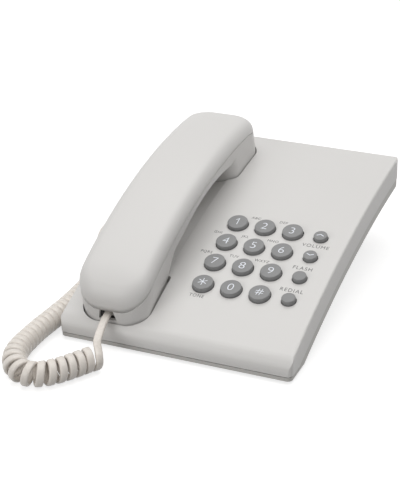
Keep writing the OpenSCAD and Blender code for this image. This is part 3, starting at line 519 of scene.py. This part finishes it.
# A capital's height in font sizes, and how much longer than its route a stroke is, in widths
capital_share, stroke_excess = 0.729, 0.8
digit_height, digit_weight, digit_widen = 0.0061, -0.00012, 1.1
stroke_w, hash_stroke_w, chevron_stroke_w, star_arm = 0.0005, 0.00045, 0.0006, 0.0028


def text_form(words, height, weight=0.0, spread=1.0, widen=1.0):
    """A flat word as a thin closed mesh, centred on the origin."""
    curve = bpy.data.curves.new("word", "FONT")
    curve.body = words
    curve.size = height / capital_share
    curve.offset = weight
    curve.space_character = spread
    curve.extrude = ink_half_t
    curve.align_x = "CENTER"
    curve.resolution_u = 6
    holder = bpy.data.objects.new("word", curve)
    bpy.context.collection.objects.link(holder)
    bpy.context.view_layer.update()
    mesh = bpy.data.meshes.new_from_object(holder.evaluated_get(bpy.context.evaluated_depsgraph_get()))
    bpy.data.objects.remove(holder)
    bpy.data.curves.remove(curve)
    form = bmesh.new()
    form.from_mesh(mesh)
    bpy.data.meshes.remove(mesh)
    bmesh.ops.remove_doubles(form, verts=form.verts, dist=0.000001)
    bmesh.ops.translate(form, vec=(0, -height / 2, 0), verts=form.verts)
    bmesh.ops.scale(form, vec=(widen, 1, 1), verts=form.verts)
    return form


def bar_form(bars, width):
    """Straight strokes, each from one point to another and a little past both, as a thin mesh."""
    form = bmesh.new()
    for bar in bars:
        start, end = (Vector((x, y, 0)) for x, y in bar)
        turn = (end - start).to_track_quat("X", "Z").to_matrix().to_4x4()
        place = Matrix.Translation((start + end) / 2) @ turn @ Matrix.Diagonal(
            ((end - start).length + stroke_excess * width, width, 2 * ink_half_t, 1))
        bmesh.ops.create_cube(form, size=1, matrix=place)
    return form


def print_on_key(form, name, row, column):
    """Lays a mark on the crown of a key, standing 0.03 mm proud of it."""
    for across in (Vector((1, 0, 0)), Vector((0, 1, 0))):
        for k in range(-ink_strips, ink_strips + 1):
            cut_all(form, across * k * ink_strip, across)
    for vertex in form.verts:
        x, y, z = vertex.co
        vertex.co.z = key_proud - crown_drop(x, y, key_radius(column)) + z - ink_sunk
    bmesh.ops.transform(form, matrix=key_place(row, column), verts=form.verts)
    return make_piece(name + "_mark", form, name)


def digit(number):
    return text_form(str(number), digit_height, weight=digit_weight, widen=digit_widen)


def chevron(rise, half_w=0.0021):
    """An arrow head that points up, or down where the rise is negative."""
    left, tip, right = (-half_w, -rise / 2), (0, rise / 2), (half_w, -rise / 2)
    return bar_form([(left, tip), (tip, right)], chevron_stroke_w)


one_strokes = [((0.0004, -0.0027), (0.0004, 0.0027)), ((0.0004, 0.0027), (-0.0012, 0.0013))]
hash_strokes = [((x - 0.0004, -0.0025), (x + 0.0004, 0.0025)) for x in (-0.0009, 0.0009)]
hash_strokes += [((-0.0024, y), (0.0024, y)) for y in (-0.0009, 0.0009)]
star_strokes = [((star_arm * cos(a), star_arm * sin(a)), (-star_arm * cos(a), -star_arm * sin(a)))
                for a in (radians(90), radians(30), radians(-30))]
# Each key's name, row, column and mark
keys = [("key_1", 3, 0, bar_form(one_strokes, stroke_w))]
keys += [(f"key_{n}", 3 - (n - 1) // 3, (n - 1) % 3, digit(n)) for n in range(2, 10)]
keys += [("key_0", 0, 1, digit(0)), ("key_hash", 0, 2, bar_form(hash_strokes, hash_stroke_w)),
         ("key_star", 0, 0, bar_form(star_strokes, stroke_w)),
         ("key_volume_up", 3, 3, chevron(0.0011)), ("key_volume_down", 2, 3, chevron(-0.0011)),
         ("key_flash", 1, 3, None), ("key_redial", 0, 3, None)]
key_caps, key_marks = [], []
for name, row, column, mark in keys:
    key_caps.append(make_key(name, row, column))
    if mark:
        key_marks.append(print_on_key(mark, name, row, column))

key_plastic = Finish("key_plastic")
key_plastic.colour((0.222, 0.224, 0.227), (0.246, 0.248, 0.251), 180, 3)
key_plastic.rough(0.40, 0.1, 1600)
key_plastic.bumps(0.000015, 0.5, 3000)
key_plastic.cover(*key_caps)

key_ink = Finish("key_ink", Roughness=0.5)
key_ink.colour((0.76, 0.79, 0.86), (0.84, 0.87, 0.93), 900)
key_ink.cover(*key_marks)

# ---------- printing on the cover ----------
# Thin grey letters pad-printed on the top cover: the dial's letter groups above and left
# of their keys, and a plain word at each function key and under the star key.

cover_surface = BVHTree.FromObject(top_cover, bpy.context.evaluated_depsgraph_get())
ray_start = 0.002


def print_on_cover(words, x, y, height, spread):
    """Lays a word on the cover, standing 0.03 mm proud of it."""
    form = text_form(words, height, spread=spread)
    for vertex in form.verts:
        above = top_at(x + vertex.co.x, y + vertex.co.y, ray_start)
        met = cover_surface.ray_cast(above, Vector((0, 0, -1)))[0]
        vertex.co = met + Vector((0, 0, vertex.co.z - ink_sunk))
    return form


label_ink = Finish("label_ink", Roughness=0.55)
label_ink.colour((0.105, 0.105, 0.107), (0.135, 0.135, 0.137), 1200)
# How far a letter group's middle is left of and above its key's, and the rows' places
group_left, group_up = 0.0095, 0.0097
group_rows = [(-0.004, [(1, "ABC"), (2, "DEF")]),
              (-0.0228, [(0, "GHI"), (1, "JKL"), (2, "MNO")]),
              (-0.0416, [(0, "PQRS"), (1, "TUV"), (2, "WXYZ")])]
cover_words = [(group, key_left + column * key_step_x - group_left, row_y + group_up, 0.0022, 1.12)
               for row_y, groups in group_rows for column, group in groups]
cover_words += [("TONE", 0.0011, -0.0683, 0.0024, 1.15), ("VOLUME", 0.0564, -0.0112, 0.0029, 1.2),
                ("FLASH", 0.0556, -0.032, 0.0029, 1.2), ("REDIAL", 0.0556, -0.0512, 0.0029, 1.2)]
for words, x, y, height, spread in cover_words:
    form = print_on_cover(words, x, y, height, spread)
    label_ink.cover(make_piece("label_" + words.lower(), form, "base"))

# ---------- handset ----------
# Two long shells of the same plastic, screwed together from below. The upper one is
# bowed and rounded, and the lower one holds the capsules and lies in the cradle.

handset_top = skin_of("handset_upper_shell", "handset_upper_moulding", "handset",
                      soften=0, sharp=50, flats=False)
handset_under = skin_of("handset_lower_shell", "handset_lower_moulding", "handset")
housing_plastic.cover(handset_top, handset_under)

# ---------- small parts ----------
# Rubber feet, zinc-plated screws, two grey knobs, the hook plunger in the covers' plastic,
# and black mouldings: the jacks, the switches, the buzzer and the handset's earpiece.
# Each is left as the solid that it is.

nodes = frame["nodes"]

black_plastic = Finish("black_plastic")
black_plastic.colour((0.016, 0.016, 0.017), (0.028, 0.028, 0.029), 200)
black_plastic.rough(0.36, 0.14, 900)
black_plastic.cover(*(nodes[n] for n in ("line_jack", "base_cord_jack", "handset_jack", "hook_switch",
                                         "ringer_switch", "dial_mode_switch", "earpiece", "buzzer")))

foot_rubber = Finish("foot_rubber")
foot_rubber.colour((0.030, 0.030, 0.031), (0.048, 0.047, 0.046), 300)
foot_rubber.rough(0.7, 0.2, 700)
foot_rubber.bumps(0.00005, 0.6, 1500, 3)
foot_rubber.cover(nodes["rubber_feet"])

screw_zinc = Finish("screw_zinc", Metallic=1.0)
screw_zinc.colour((0.50, 0.50, 0.52), (0.62, 0.62, 0.63), 500)
screw_zinc.rough(0.25, 0.2, 1200)
screw_zinc.cover(nodes["case_screws"], nodes["handset_screws"])

knob_plastic = Finish("knob_plastic")
knob_plastic.colour((0.285, 0.285, 0.283), (0.315, 0.315, 0.313), 250)
knob_plastic.rough(0.42, 0.1, 900)
knob_plastic.cover(nodes["ringer_knob"], nodes["dial_mode_knob"])

hook_plastic = Finish("hook_plastic")
hook_plastic.colour((0.680, 0.671, 0.660), (0.700, 0.692, 0.681), 60)
hook_plastic.rough(0.40, 0.1, 900)
hook_plastic.cover(nodes["hook_plunger"])

# ---------- inside the base and the handset ----------
# A laminate board under a green solder mask with its dark parts, the silicone mat under
# the keys, the microphone's can and the steel weight that gives the handset its heft.
# They are left as solids too.

board_mask = Finish("board_mask")
board_mask.colour((0.035, 0.12, 0.055), (0.055, 0.17, 0.08), 90, 4)
board_mask.rough(0.3, 0.15, 400)
board_mask.cover(nodes["main_board"])

part_cases = Finish("part_cases")
part_cases.colour((0.03, 0.03, 0.033), (0.06, 0.06, 0.064), 120)
part_cases.rough(0.4, 0.2, 500)
part_cases.cover(nodes["board_parts"])

mat_silicone = Finish("mat_silicone")
mat_silicone.colour((0.46, 0.46, 0.45), (0.56, 0.56, 0.55), 80)
mat_silicone.rough(0.55, 0.15, 300)
mat_silicone.cover(nodes["key_mat"])

can_metal = Finish("can_metal", Metallic=1.0)
can_metal.colour((0.62, 0.62, 0.62), (0.74, 0.74, 0.73), 300)
can_metal.rough(0.28, 0.2, 800)
can_metal.cover(nodes["microphone"])

weight_steel = Finish("weight_steel", Metallic=1.0)
weight_steel.colour((0.26, 0.25, 0.24), (0.38, 0.37, 0.35), 150, 3)
weight_steel.rough(0.4, 0.3, 250)
weight_steel.cover(nodes["handset_weight"])
